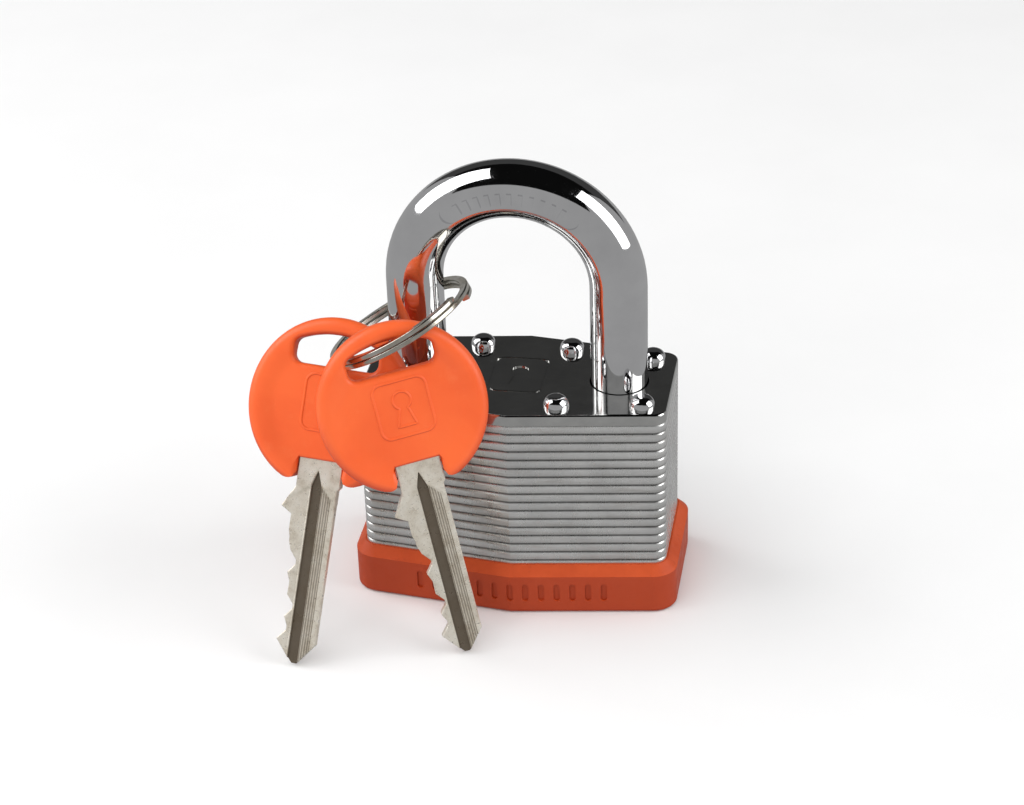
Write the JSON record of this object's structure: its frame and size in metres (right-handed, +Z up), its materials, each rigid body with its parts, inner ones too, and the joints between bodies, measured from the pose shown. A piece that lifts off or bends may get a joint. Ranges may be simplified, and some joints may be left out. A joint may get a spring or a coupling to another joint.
{
  "type": "laminated padlock",
  "caption": "Laminated steel padlock with a round shackle, a rubber bumper round its foot, and keys with plastic heads on a split ring.",
  "frame": {"origin": "centre of the foot, on the surface that the lock stands on", "axes": "+Z up along the shackle's legs, +X across the body towards the heel leg, -Y is the front, where the keys hang"},
  "size_m": [0.0685, 0.0494, 0.0748],
  "materials": {
    "plate_steel": "zinc plated, sheared edges",
    "dark_plate": "dark polished",
    "chrome": "polished",
    "bumper_rubber": "matte moulded rubber",
    "key_plastic": "satin moulded",
    "key_metal": "worn nickel silver",
    "ring_steel": "nickel plated",
    "brass": "machined",
    "spring_steel": "plain"
  },
  "bodies": {
    "body": {"top_plate": "dark_plate", "lamination_01": "plate_steel", "lamination_02": "plate_steel", "lamination_03": "plate_steel", "lamination_04": "plate_steel", "lamination_05": "plate_steel", "lamination_06": "plate_steel", "lamination_07": "plate_steel", "lamination_08": "plate_steel", "lamination_09": "plate_steel", "lamination_10": "plate_steel", "lamination_11": "plate_steel", "lamination_12": "plate_steel", "lamination_13": "plate_steel", "lamination_14": "plate_steel", "lamination_15": "plate_steel", "lamination_16": "plate_steel", "lamination_17": "plate_steel", "lamination_18": "plate_steel", "lamination_19": "plate_steel", "lamination_20": "plate_steel", "bottom_plate": "plate_steel", "base_bumper": "bumper_rubber", "rivets": "chrome", "cylinder_housing": "brass", "shackle_retainer": "spring_steel", "shackle_spring": "spring_steel", "lever_spring": "spring_steel", "pin_spring_1": "spring_steel", "pin_spring_2": "spring_steel", "pin_spring_3": "spring_steel", "pin_spring_4": "spring_steel", "pin_spring_5": "spring_steel"},
    "plug": {"plug": "brass", "plug_clip": "spring_steel"},
    "key_pin_1": {"key_pin_1": "brass"},
    "key_pin_2": {"key_pin_2": "brass"},
    "key_pin_3": {"key_pin_3": "brass"},
    "key_pin_4": {"key_pin_4": "brass"},
    "key_pin_5": {"key_pin_5": "brass"},
    "driver_pin_1": {"driver_pin_1": "brass"},
    "driver_pin_2": {"driver_pin_2": "brass"},
    "driver_pin_3": {"driver_pin_3": "brass"},
    "driver_pin_4": {"driver_pin_4": "brass"},
    "driver_pin_5": {"driver_pin_5": "brass"},
    "lever_toe": {"locking_lever_toe": "spring_steel"},
    "lever_heel": {"locking_lever_heel": "spring_steel"},
    "shackle": {"shackle": "chrome"},
    "ring": {"split_ring": "ring_steel"},
    "key_front": {"key_head_front": "key_plastic", "key_blade_front": "key_metal"},
    "key_left": {"key_head_left": "key_plastic", "key_blade_left": "key_metal"}
  },
  "joints": [
    {"name": "plug_turn", "type": "hinge", "parent": "body", "child": "plug", "pos_m": [0, -0.003, 0], "axis": [0, 0, 1], "range_deg": [-90, 0], "deforming": ["lever_spring"]},
    {"name": "lever_toe_slide", "type": "slide", "parent": "body", "child": "lever_toe", "axis": [-1, 0, 0], "range_m": [0, 0.0019]},
    {"name": "lever_heel_slide", "type": "slide", "parent": "body", "child": "lever_heel", "axis": [1, 0, 0], "range_m": [0, 0.0019]},
    {"name": "shackle_lift", "type": "slide", "parent": "body", "child": "shackle", "axis": [0, 0, 1], "range_m": [0, 0.012], "deforming": ["shackle_spring"]},
    {"name": "key_pin_1_slide", "type": "slide", "parent": "plug", "child": "key_pin_1", "axis": [1, 0, 0], "range_m": [0, 0.0015]},
    {"name": "key_pin_2_slide", "type": "slide", "parent": "plug", "child": "key_pin_2", "axis": [1, 0, 0], "range_m": [0, 0.0015]},
    {"name": "key_pin_3_slide", "type": "slide", "parent": "plug", "child": "key_pin_3", "axis": [1, 0, 0], "range_m": [0, 0.0015]},
    {"name": "key_pin_4_slide", "type": "slide", "parent": "plug", "child": "key_pin_4", "axis": [1, 0, 0], "range_m": [0, 0.0015]},
    {"name": "key_pin_5_slide", "type": "slide", "parent": "plug", "child": "key_pin_5", "axis": [1, 0, 0], "range_m": [0, 0.0015]},
    {"name": "driver_pin_1_slide", "type": "slide", "parent": "body", "child": "driver_pin_1", "axis": [0, 1, 0], "range_m": [0, 0.0015], "stiffness_N_per_m": 20, "springref_m": -0.002, "deforming": ["pin_spring_1"]},
    {"name": "driver_pin_2_slide", "type": "slide", "parent": "body", "child": "driver_pin_2", "axis": [0, 1, 0], "range_m": [0, 0.0015], "stiffness_N_per_m": 20, "springref_m": -0.002, "deforming": ["pin_spring_2"]},
    {"name": "driver_pin_3_slide", "type": "slide", "parent": "body", "child": "driver_pin_3", "axis": [0, 1, 0], "range_m": [0, 0.0015], "stiffness_N_per_m": 20, "springref_m": -0.002, "deforming": ["pin_spring_3"]},
    {"name": "driver_pin_4_slide", "type": "slide", "parent": "body", "child": "driver_pin_4", "axis": [0, 1, 0], "range_m": [0, 0.0015], "stiffness_N_per_m": 20, "springref_m": -0.002, "deforming": ["pin_spring_4"]},
    {"name": "driver_pin_5_slide", "type": "slide", "parent": "body", "child": "driver_pin_5", "axis": [0, 1, 0], "range_m": [0, 0.0015], "stiffness_N_per_m": 20, "springref_m": -0.002, "deforming": ["pin_spring_5"]},
    {"name": "ring_tilt", "type": "hinge", "parent": "shackle", "child": "ring", "pos_m": [-0.01641, 0.0056, 0.04829], "axis": [-0.8637, 0.0869, -0.4964], "range_deg": [0, 25]},
    {"name": "key_front_swing", "type": "hinge", "parent": "ring", "child": "key_front", "pos_m": [-0.01872, -0.01674, 0.04679], "axis": [0.2963, -0.9119, 0.284], "range_deg": [0, 6]},
    {"name": "key_left_swing", "type": "hinge", "parent": "ring", "child": "key_left", "pos_m": [-0.0278, -0.00949, 0.04329], "axis": [-0.0364, -0.8696, 0.4924], "range_deg": [-10, 0]}
  ],
  "couplings": [
    {"joint": "lever_toe_slide", "follows": "plug_turn", "m_per_rad": -0.0011459},
    {"joint": "lever_heel_slide", "follows": "plug_turn", "m_per_rad": -0.0011459}
  ]
}
